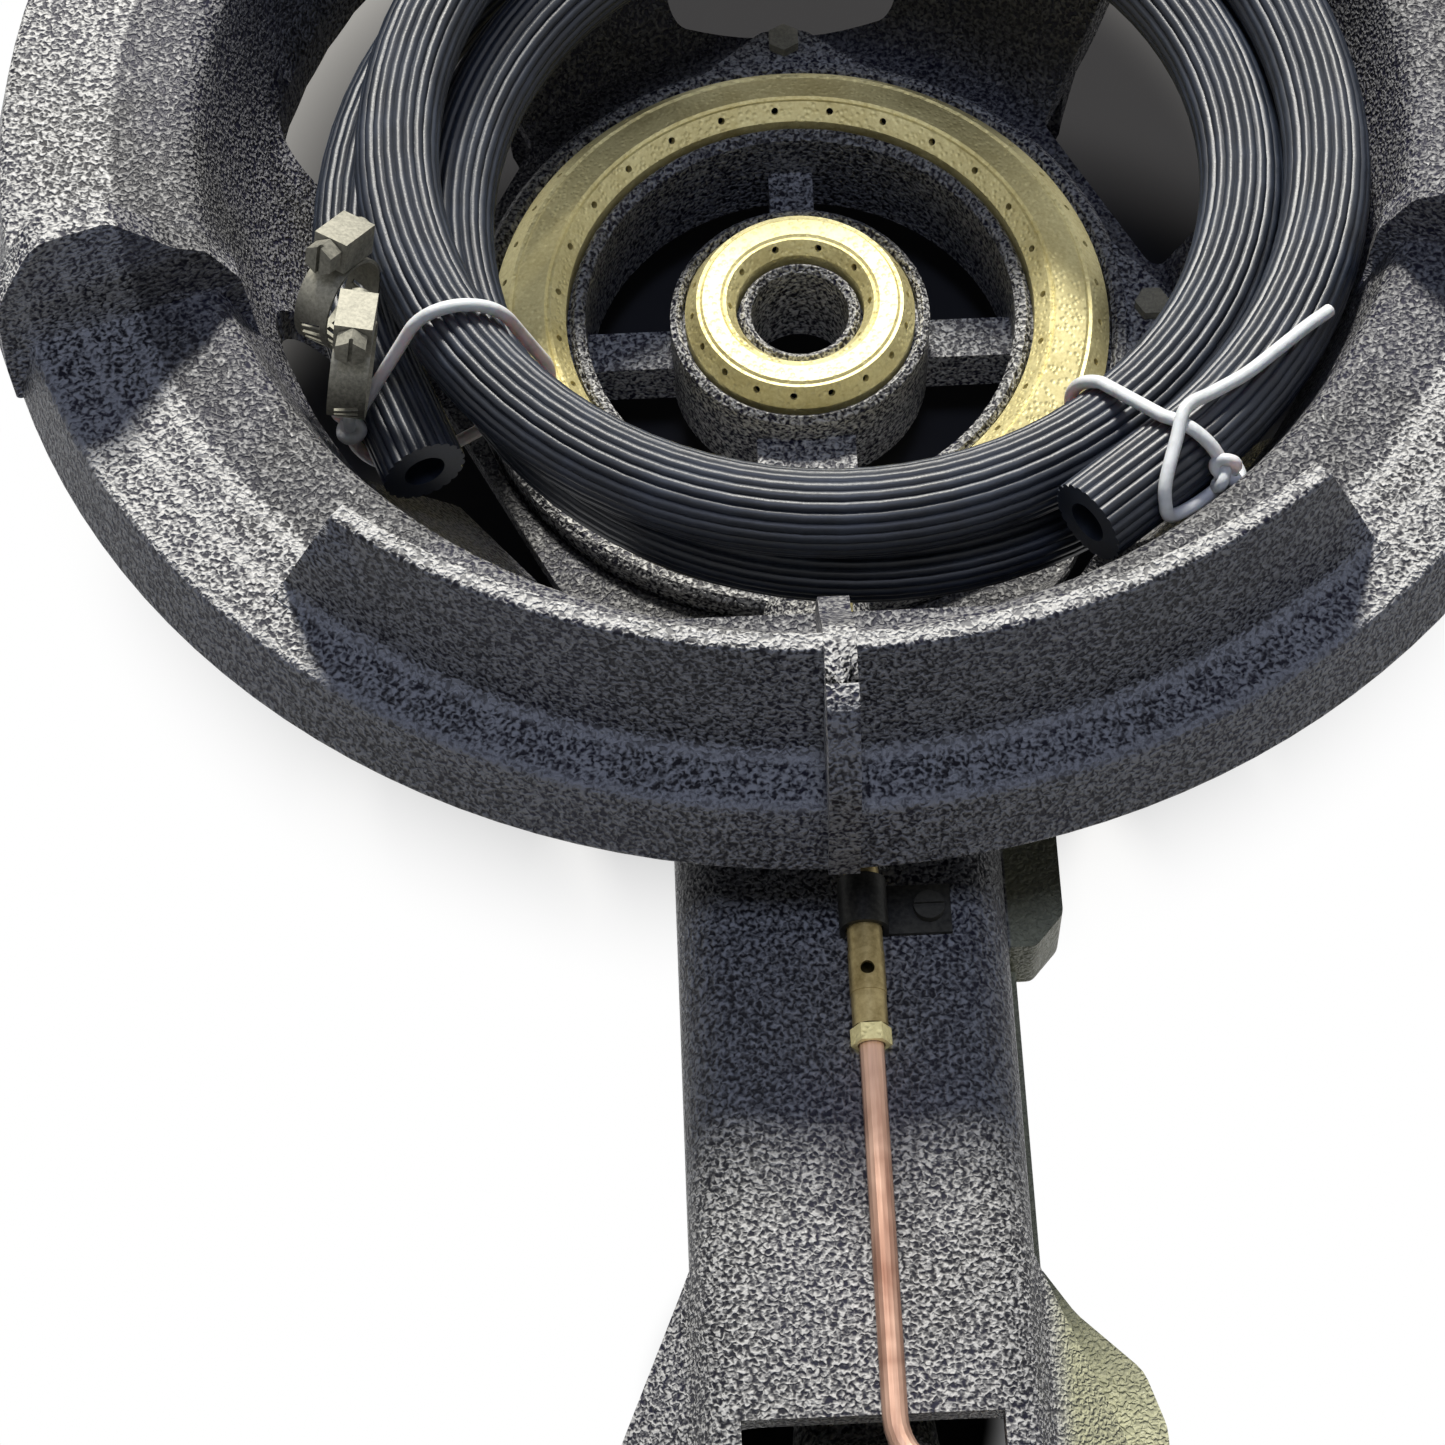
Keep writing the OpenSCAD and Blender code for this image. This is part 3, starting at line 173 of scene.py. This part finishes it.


def makeHammer(name, where):  # hammered paint on rough casting: silver worms on a dark ground
    paint = Finish(name, specular_ior_level=0.18)
    worm = paint.noise(hammer["grain"], 0.5, 0.4, 0.6).over(*hammer["worm"])
    patches = paint.noise(hammer["patch"], 3, 0.55)
    ground = paint.blend(patches.over(0.4, 0.6), hammer["ground"], hammer["blue"])
    silver = hammer["silver"]
    share = worm * (hammer["least"] + hammer["more"] * patches)
    lumps = paint.bump(paint.noise(hammer["lump"], 3, 0.5), 0.5, hammer["lumpDeep"])
    x, y, z = (paint.axis(axis) for axis in "XYZ")
    if where == "bowl":  # painted shade: less silver inside the bowl; painted light: more silver on the rim top; painted highlights along the front edges
        r = (x * x + (y - bowlY) * (y - bowlY)) ** 0.5
        # painted shade: the silver thins towards the bowl's inside
        share = share * (hammer["inner"] + (1 - hammer["inner"]) * r.over(*hammer["inside"]))
        # painted light: brighter rim top
        share = share * (1 + hammer["rim"] * z.over(*hammer["rimZ"]))
        paintedHighlight = 0
        # painted highlight bands along the front edges of the rim and wall
        for edge in hammer["edges"]:
            paintedHighlight = paintedHighlight + (1 - (r - edge).size().over(*hammer["edge"]))
        paintedHighlight = paintedHighlight * (1 - (y - bowlY).over(*hammer["front"])) * z.over(*hammer["edgeZ"])
        share = share + paintedHighlight * (hammer["paintedHighlight"] + hammer["paintedHighlightWorm"] * worm)
    if where == "arm":  # painted light: olive and brighter low on the lug and the foot's ledge, which lie in shade
        low = x.over(*hammer["lugX"]) * (1 - z.over(*hammer["lugZ"]))
        silver = paint.blend(low, silver, hammer["olive"])
        share = share + low * hammer["paintedLight"]
    paint.feed(base_color=paint.blend(share, ground, silver),
               roughness=0.36 - 0.06 * worm + 0.06 * patches,
               normal=paint.bump(worm, 1.0, hammer["deep"], lumps))
    return paint.material


metals = {
    "palebrass": {"low": (0.6, 0.52, 0.25), "high": (0.86, 0.8, 0.48), "rough": 0.5, "grain": 900,
                  "pebbled": 0.35},
    "oldbrass": {"low": (0.2, 0.15, 0.06), "high": (0.5, 0.41, 0.21), "rough": 0.33, "grain": 700},
    "copper": {"low": (0.26, 0.12, 0.08), "high": (0.74, 0.5, 0.38), "rough": 0.3, "grain": 500,
               "lengthwise": 0.06},
    "zinc": {"low": (0.1, 0.1, 0.085), "high": (0.34, 0.33, 0.28), "rough": 0.5, "grain": 1100},
    "blackened": {"low": (0.015, 0.015, 0.016), "high": (0.06, 0.06, 0.055), "rough": 0.4,
                  "grain": 900},
    "chrome": {"low": (0.6, 0.62, 0.65), "high": (0.86, 0.87, 0.9), "rough": 0.13, "grain": 400},
}


def makeMetal(name):  # cast or drawn metal with darker stains
    facts = metals[name]
    metal = Finish(name, metallic=1.0)
    where = metal.stretched(1, facts["lengthwise"], 1) if "lengthwise" in facts else metal.place
    grain = metal.noise(facts["grain"], 3, 0.6, vector=where)
    stains = metal.noise(45, 3, 0.6, 0.4)
    share = (grain * 0.5 + stains * 0.7 - 0.12).over(0.2, 0.75)
    skin = metal.bump(grain, 0.25, 0.0002)
    if "pebbled" in facts:
        pores = metal.cells(650).over(0.05, 0.55)
        skin = metal.bump(pores, facts["pebbled"], 0.0005, skin)
    metal.feed(base_color=metal.blend(share, facts["low"], facts["high"]),
               roughness=facts["rough"] + 0.22 * stains + 0.08 * grain, normal=skin)
    return metal.material


rubberTones = {"black": (0.009, 0.013, 0.022), "dusty": (0.024, 0.032, 0.05),
               "speck": (0.1, 0.11, 0.13)}


def makeRubber():  # slate black hose with dust on it
    rubber = Finish("ribbedRubber", specular_ior_level=0.5)
    dust = rubber.noise(70, 4, 0.65)
    specks = rubber.noise(1500, 2, 0.7)
    colour = rubber.blend(dust.over(0.35, 0.75), rubberTones["black"], rubberTones["dusty"])
    rubber.feed(base_color=rubber.blend(specks.over(0.6, 0.85) * 0.2, colour, rubberTones["speck"]),
                roughness=0.34 + 0.14 * dust, normal=rubber.bump(specks, 0.25, 0.0002))
    return rubber.material


def makeSleeve():  # white plastic sleeve of the ties
    sleeve = Finish("whiteSleeve", subsurface_weight=0.1, roughness=0.45)
    soil = sleeve.noise(180, 3, 0.6)
    sleeve.feed(base_color=sleeve.blend(soil.over(0.45, 0.8), (0.86, 0.86, 0.87), (0.62, 0.61, 0.62)),
                normal=sleeve.bump(sleeve.noise(900, 2), 0.3, 0.0003))
    return sleeve.material


def makeGrip():  # moulded plastic of the tap's lever
    grip = Finish("mouldedGrip", specular_ior_level=0.4)
    grain = grip.noise(1400, 2, 0.6)
    grip.feed(base_color=grip.blend(grain, (0.012, 0.012, 0.014), (0.03, 0.03, 0.034)),
              roughness=0.45 + 0.2 * grain, normal=grip.bump(grain, 0.3, 0.0002))
    return grip.material


hammered = {"bowl": makeHammer("bowlPaint", "bowl"), "arm": makeHammer("armPaint", "arm"),
            "burner_body": makeHammer("burnerPaint", "burner")}
metalFinishes = {name: makeMetal(name) for name in metals}
ribbedRubber = makeRubber()
whiteSleeve = makeSleeve()
mouldedGrip = makeGrip()
print("finishes done")


# ---- making and dressing pieces

def dress(piece, material):
    piece.data.materials.clear()
    piece.data.materials.append(material)


def newPiece(name, points, faces, material, body):
    mesh = bpy.data.meshes.new(name)
    mesh.from_pydata([tuple(p) for p in points], [], faces)
    piece = bpy.data.objects.new(name, mesh)
    bpy.context.collection.objects.link(piece)
    dress(piece, material)
    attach(piece, body)
    return piece


def alone(piece):  # makes one piece the only one that operators act on
    bpy.ops.object.select_all(action="DESELECT")
    piece.select_set(True)
    bpy.context.view_layer.objects.active = piece


def smooth(piece, angle):
    alone(piece)
    bpy.ops.object.shade_smooth_by_angle(angle=math.radians(angle))


# merge in metres; flat and angle in degrees; edges: width of each casting's softened edges
softening = {"merge": 0.00001, "flat": 0.6, "angle": 34, "segments": 2,
             "edges": {"bowl": 0.0011, "arm": 0.0012, "burner_body": 0.0007}}


def softCopy(node, body, material):
    # merged copy of a casting with softened edges, shown in its place
    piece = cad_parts[node].copy()
    piece.data = piece.data.copy()
    piece.name = node + "Skin"
    piece.parent = None
    bpy.context.collection.objects.link(piece)
    alone(piece)
    bpy.ops.object.mode_set(mode="EDIT")
    bpy.ops.mesh.select_all(action="SELECT")
    bpy.ops.mesh.remove_doubles(threshold=softening["merge"])
    bpy.ops.mesh.dissolve_limited(angle_limit=math.radians(softening["flat"]))
    bpy.ops.object.mode_set(mode="OBJECT")
    edge = piece.modifiers.new("edge", "BEVEL")
    edge.width = softening["edges"][node]
    edge.segments = softening["segments"]
    edge.limit_method = "ANGLE"
    edge.angle_limit = math.radians(softening["angle"])
    bpy.ops.object.modifier_apply(modifier="edge")
    smooth(piece, softening["angle"])
    even = piece.modifiers.new("even", "WEIGHTED_NORMAL")
    even.keep_sharp = True
    bpy.ops.object.modifier_apply(modifier="even")
    dress(piece, material)
    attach(piece, body)
    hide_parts(node)
    return piece


def ringsAlong(path, profile, level=None):
    # points of a cross-section profile of (side, up), set square to each point of a path
    points = []
    for i, p in enumerate(path):
        t = (path[min(i + 1, len(path) - 1)] - path[max(i - 1, 0)]).normalized()
        ref = level[i] if level else Vector((0, 0, 1))
        s = (ref - t * ref.dot(t)).normalized()
        u = t.cross(s)
        points += [p + a * s + b * u for a, b in profile]
    return points


def skinOf(count, sides, start=0):
    return [(start + i * sides + k, start + i * sides + (k + 1) % sides,
             start + (i + 1) * sides + (k + 1) % sides, start + (i + 1) * sides + k)
            for i in range(count - 1) for k in range(sides)]


# ---- hose

hose = {"centre": (9.4, -2.5), "start": -54, "radius": 121.8, "turnsIn": 1.475, "turnsOut": 1.24,
        "stepIn": 19.6, "stepOut": 25, "high": 125.3, "fall": 9, "low": 95, "lead": 26,
        "thick": 21, "bore": 10.4, "ribs": 23, "groove": 0.75, "steps": 216,
        "rib": [0.0, 0.82, 1.0, 1.0, 0.82]}  # how far each point of a rib stands out of its groove
hose["turnAt"] = 360 * hose["turnsIn"]
hose["all"] = 360 * (hose["turnsIn"] + hose["turnsOut"])


def coilRadius(a):  # the coil winds in, then out again below its first turns
    if a < hose["turnAt"]:
        return hose["radius"] - hose["stepIn"] * a / 360
    inmost = hose["radius"] - hose["stepIn"] * hose["turnsIn"]
    return inmost + hose["stepOut"] * (a - hose["turnAt"]) / 360


def coilHeight(a):
    share = min(max((a - hose["turnAt"] + 90) / 180, 0), 1)
    share = share * share * (3 - 2 * share)
    return (hose["high"] - hose["fall"] * a / 360) * (1 - share) + hose["low"] * share


def coilSpot(a, r, z):
    t = math.radians(hose["start"] + a)
    return fromBowl(hose["centre"][0] + r * math.cos(t), hose["centre"][1] + r * math.sin(t), z)


def coilPoint(a):
    return coilSpot(a, coilRadius(a), coilHeight(a))


def hosePath():
    steps, end = hose["steps"], hose["all"]
    first = coilPoint(0) + (coilPoint(0) - coilPoint(1)).normalized() * hose["lead"] / 1000
    last = coilPoint(end) + (coilPoint(end) - coilPoint(end - 1)).normalized() * hose["lead"] / 1000
    path = [coilPoint(end * i / steps) for i in range(steps + 1)]
    runIn = [first.lerp(path[0], i / 4) for i in range(4)]
    runOut = [path[-1].lerp(last, i / 4) for i in range(1, 5)]
    return runIn + path + runOut


def makeHose():
    path = hosePath()
    n, ribs, rib = len(path), hose["ribs"], hose["rib"]
    sides = ribs * len(rib)
    outer = []
    for k in range(sides):
        r = (hose["thick"] / 2 - hose["groove"] * (1 - rib[k % len(rib)])) / 1000
        a = math.radians(360 * k / sides)
        outer.append((r * math.cos(a), r * math.sin(a)))
    inner = [(hose["bore"] / 2000 * math.cos(math.radians(360 * k / ribs)),
              hose["bore"] / 2000 * math.sin(math.radians(360 * k / ribs))) for k in range(ribs)]
    points = ringsAlong(path, outer) + ringsAlong(path, inner)
    base = n * sides
    faces = skinOf(n, sides) + [f[::-1] for f in skinOf(n, ribs, base)]
    for row, turned in ((0, False), (n - 1, True)):  # cut faces at both ends
        for k in range(ribs):
            ring = [row * sides + (k * len(rib) + j) % sides for j in range(len(rib) + 1)]
            face = ring + [base + row * ribs + (k + 1) % ribs, base + row * ribs + k]
            faces.append(face if turned else face[::-1])
    piece = newPiece("hose", points, faces, ribbedRubber, "hose")
    smooth(piece, 40)
    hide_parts("hose_coil")
    return piece, path


def declareHose(path):  # prints the length of the hose's path
    total = sum((b - a).length for a, b in zip(path, path[1:]))
    print("hose", round(total, 3), "m")


hosePiece, hoseLine = makeHose()


# ---- ties

# at: place along the coil in degrees; knot: its direction around the hose; slack in millimetres;
# past: how many degrees beyond its end the last run still carries a tie
ties = {"thick": 3.2, "steps": 96, "gap": 8, "sides": 12, "past": 12,
        "left": {"at": 261, "knot": 25, "drift": 5, "slack": 0.7},
        "right": {"at": 2.5, "knot": 20, "drift": -3.7, "slack": 0.35}}
knots = {"steps": 90, "size": 0.00135, "thick": 2.9, "out": 1.2, "lift": 9, "tall": 1.3}
# place along the coil, direction around the hose and slack at each stop of the loose end
tail = [(2.5, 8, 1.2), (-1, 0, 0.6), (-4.5, 8, 0.5), (-5, 28, 0.5), (-4, 52, 0.5), (-1, 78, 0.8),
        (2.5, 98, 2.6), (6.5, 95, 1), (11, 84, 0.5), (16, 74, 0.5), (20.5, 62, 0.5), (24, 48, 0.5)]


def tiePoint(a, turn, slack):  # outermost run of the hose in the direction turn, seen along the coil
    n = Vector((math.cos(math.radians(turn)), math.sin(math.radians(turn))))
    runs = []
    for b in (a, a + 360, a + 720):
        if b <= hose["all"] + ties["past"]:
            over = math.radians(max(b - hose["all"], 0))
            runs.append(Vector((coilRadius(b) / math.cos(over), coilHeight(b))))
    best = max(runs, key=lambda p: p.dot(n))
    return best + (hose["thick"] / 2 + ties["thick"] / 2 + slack) * n


def makeStrand(name, path, thick, level=None, closed=False):  # round strand with flat ends
    n, sides = len(path), ties["sides"]
    profile = [(thick / 2000 * math.cos(2 * math.pi * k / sides),
                thick / 2000 * math.sin(2 * math.pi * k / sides)) for k in range(sides)]
    points = ringsAlong(path, profile, level)
    faces = skinOf(n, sides)
    if closed:
        faces += [((n - 1) * sides + k, (n - 1) * sides + (k + 1) % sides, (k + 1) % sides, k)
                  for k in range(sides)]
    else:
        faces += [tuple(reversed(range(sides))), tuple(range((n - 1) * sides, n * sides))]
    piece = newPiece(name, points, faces, whiteSleeve, "hose")
    smooth(piece, 50)
    return piece


def makeTie(side):
    facts = ties[side]
    steps, gap = ties["steps"], ties["gap"]
    path, level = [], []
    w = math.radians(hose["start"] + facts["at"])
    along = Vector((-math.sin(w), math.cos(w), 0))
    for i in range(steps + 1):
        turn = facts["knot"] + gap + (360 - 2 * gap) * i / steps
        a = facts["at"] + facts["drift"] * (1 - math.cos(2 * math.pi * i / steps)) / 2
        path.append(coilSpot(a, *tiePoint(a, turn, facts["slack"])))
        level.append(along)
    loop = makeStrand(side + "TieLoop", path, ties["thick"], level)
    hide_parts("tie_" + side)
    out = Vector((math.cos(math.radians(facts["knot"])), math.sin(math.radians(facts["knot"]))))
    tied = tiePoint(facts["at"], facts["knot"], facts["slack"])
    centre = coilSpot(facts["at"], *(tied + knots["out"] * out))
    lift = (coilSpot(facts["at"], *(tied + knots["lift"] * out)) - centre).normalized()
    across = along.cross(lift)
    line = []
    for i in range(knots["steps"]):  # a small closed knot
        t = 2 * math.pi * i / knots["steps"]
        x, y = math.sin(t) + 2 * math.sin(2 * t), math.cos(t) - 2 * math.cos(2 * t)
        z = -math.sin(3 * t)
        line.append(centre + knots["size"] * (x * along + y * across + knots["tall"] * z * lift))
    knot = makeStrand(side + "TieKnot", line, knots["thick"], [lift] * knots["steps"], closed=True)
    return [loop, knot]


def between(stops, steps):  # smooth run of values through the stops
    run = []
    for i in range(len(stops) - 1):
        a, b, c, d = (stops[min(max(i + k, 0), len(stops) - 1)] for k in (-1, 0, 1, 2))
        for j in range(steps):
            t = j / steps
            run.append([0.5 * (2 * q + (r - p) * t + (2 * p - 5 * q + 4 * r - s) * t * t
                               + (3 * q - p - 3 * r + s) * t ** 3) for p, q, r, s in zip(a, b, c, d)])
    return run + [list(stops[-1])]


def makeTail():  # loose end of the right tie, laid back over the outer run
    path = [coilSpot(a, *tiePoint(a, turn, slack)) for a, turn, slack in between(tail, 6)]
    return makeStrand("rightTieTail", path, ties["thick"])


held = makeTie("left") + makeTie("right") + [makeTail()]
held += [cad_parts[node] for node in ("clamp_bands", "clamp_housings", "clamp_screws")]
declareHose(hoseLine)
print("ties done")


# ---- castings and metal pieces

for node in softening["edges"]:
    softCopy(node, "stove", hammered[node])
print("castings done")

nodeFinishes = {
    "palebrass": ["outer_ring_cap", "inner_ring_cap", "nozzle", "nozzle_holder", "lock_nut",
                  "valve_body", "bonnet_nut", "gland_nut", "hose_spigot", "pilot_tap", "pipe_nut",
                  "mixer_nut", "pilot_head"],
    "oldbrass": ["pilot_mixer"], "copper": ["pilot_pipe"], "chrome": ["hand_wheel"],
    "blackened": ["pilot_bracket", "bracket_screw"],
    "zinc": ["arm_bolts", "burner_bolts", "air_shutter", "shutter_spring", "valve_stem", "wheel_nut",
             "lever_screw", "pilot_jet_tube", "clamp_bands", "clamp_housings", "clamp_screws"]}
for name, nodes in nodeFinishes.items():
    for node in nodes:
        dress(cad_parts[node], metalFinishes[name])
dress(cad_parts["pilot_lever"], mouldedGrip)
print("metal pieces done")


# ---- floor and light

# each painted shade on the floor under the object: its middle beside the bowl's axis, its dark and its
# pale radius;
# grey: the same for the part of the floor that shows grey through the bowl's windows
stage = {"size": 6, "low": 0.0005, "shades": [(0, 0.045, 0.12, 0.225), (0, -0.285, 0.03, 0.055)],
         "shade": (0.035, 0.035, 0.038), "seen": (0.22, 0.22, 0.23),
         "pale": [(0.8, 0.8, 0.8), (0.83, 0.83, 0.83)], "grey": (0, 0.09, 0.18, 0.212)}
# rays that show the white background
whiteRays = ["Is Camera Ray", "Is Glossy Ray", "Is Transmission Ray"]


def seenRays(finish):
    camera, glossy, through = (finish.node("LightPath", out=kind) for kind in whiteRays)
    return camera.sum("MAXIMUM", camera.sum("MAXIMUM", camera, glossy), through)


def awayFrom(finish, spot):  # 0 within the dark radius of a spot, 1 beyond its pale radius
    x = finish.axis("X") - spot[0]
    y = finish.axis("Y") - (spot[1] + bowlY)
    return ((x * x + y * y) ** 0.5).over(spot[2], spot[3])


def makeFloor():  # pale floor, white away from the object, with painted shade under the bowl and the arm's end
    bpy.ops.object.select_all(action="DESELECT")
    bpy.ops.mesh.primitive_plane_add(size=stage["size"], location=(0, 0, -stage["low"]))
    floor = bpy.context.object
    floor.name = "floor"
    ground = Finish("paleFloor", roughness=0.9, specular_ior_level=0.1)
    light = 1
    for spot in stage["shades"]:
        light = light * awayFrom(ground, spot)
    seen = seenRays(ground)
    pale = ground.blend(ground.noise(3, 2), *stage["pale"])
    tone = ground.blend(seen, stage["seen"], pale)
    # painted shade: the floor's colour darkens to the shade colour within each painted shade
    ground.feed(base_color=ground.blend(light, stage["shade"], tone))
    clear = light * awayFrom(ground, stage["grey"])
    white = ground.node("Emission", None, {"Color": (1, 1, 1, 1), "Strength": 1.0})
    lit = Wire(ground, ground.shader.outputs[0])
    shown = ground.node("MixShader", None, {0: seen * clear, 1: lit, 2: white})
    ground.put(ground.tree.nodes["Material Output"].inputs["Surface"], shown)
    dress(floor, ground.material)


lamps = {
    "key": {"from": (-0.1, 2.0, 2.0), "size": 0.4, "power": 118, "colour": (1, 0.97, 0.9)},
    "top": {"from": (0.0, -0.25, 2.2), "size": 0.5, "power": 7, "colour": (0.62, 0.7, 1)},
    "aim": (0, bowlY, 0.1), "sky": 0.03, "skyColour": (0.68, 0.74, 1, 1)}


def makeLamps():
    for name in ("key", "top"):
        facts = lamps[name]
        data = bpy.data.lights.new(name, "AREA")
        data.size = facts["size"]
        data.energy = facts["power"]
        data.color = facts["colour"]
        lamp = bpy.data.objects.new(name, data)
        bpy.context.collection.objects.link(lamp)
        lamp.location = facts["from"]
        lamp.rotation_euler = (Vector(lamps["aim"]) - lamp.location).to_track_quat("-Z", "Y").to_euler()
    world = bpy.context.scene.world or bpy.data.worlds.new("world")
    bpy.context.scene.world = world
    world.use_nodes = True
    tree = world.node_tree
    tree.nodes.clear()
    path = tree.nodes.new("ShaderNodeLightPath")
    soft = tree.nodes.new("ShaderNodeBackground")
    seen = tree.nodes.new("ShaderNodeBackground")
    soft.inputs["Strength"].default_value = lamps["sky"]
    soft.inputs["Color"].default_value = lamps["skyColour"]
    seen.inputs["Strength"].default_value = 1.0
    shown = soft
    for kind in whiteRays:
        mix = tree.nodes.new("ShaderNodeMixShader")
        tree.links.new(path.outputs[kind], mix.inputs[0])
        tree.links.new(shown.outputs[0], mix.inputs[1])
        tree.links.new(seen.outputs[0], mix.inputs[2])
        shown = mix
    output = tree.nodes.new("ShaderNodeOutputWorld")
    tree.links.new(shown.outputs[0], output.inputs["Surface"])


makeFloor()
makeLamps()
print("stage done")
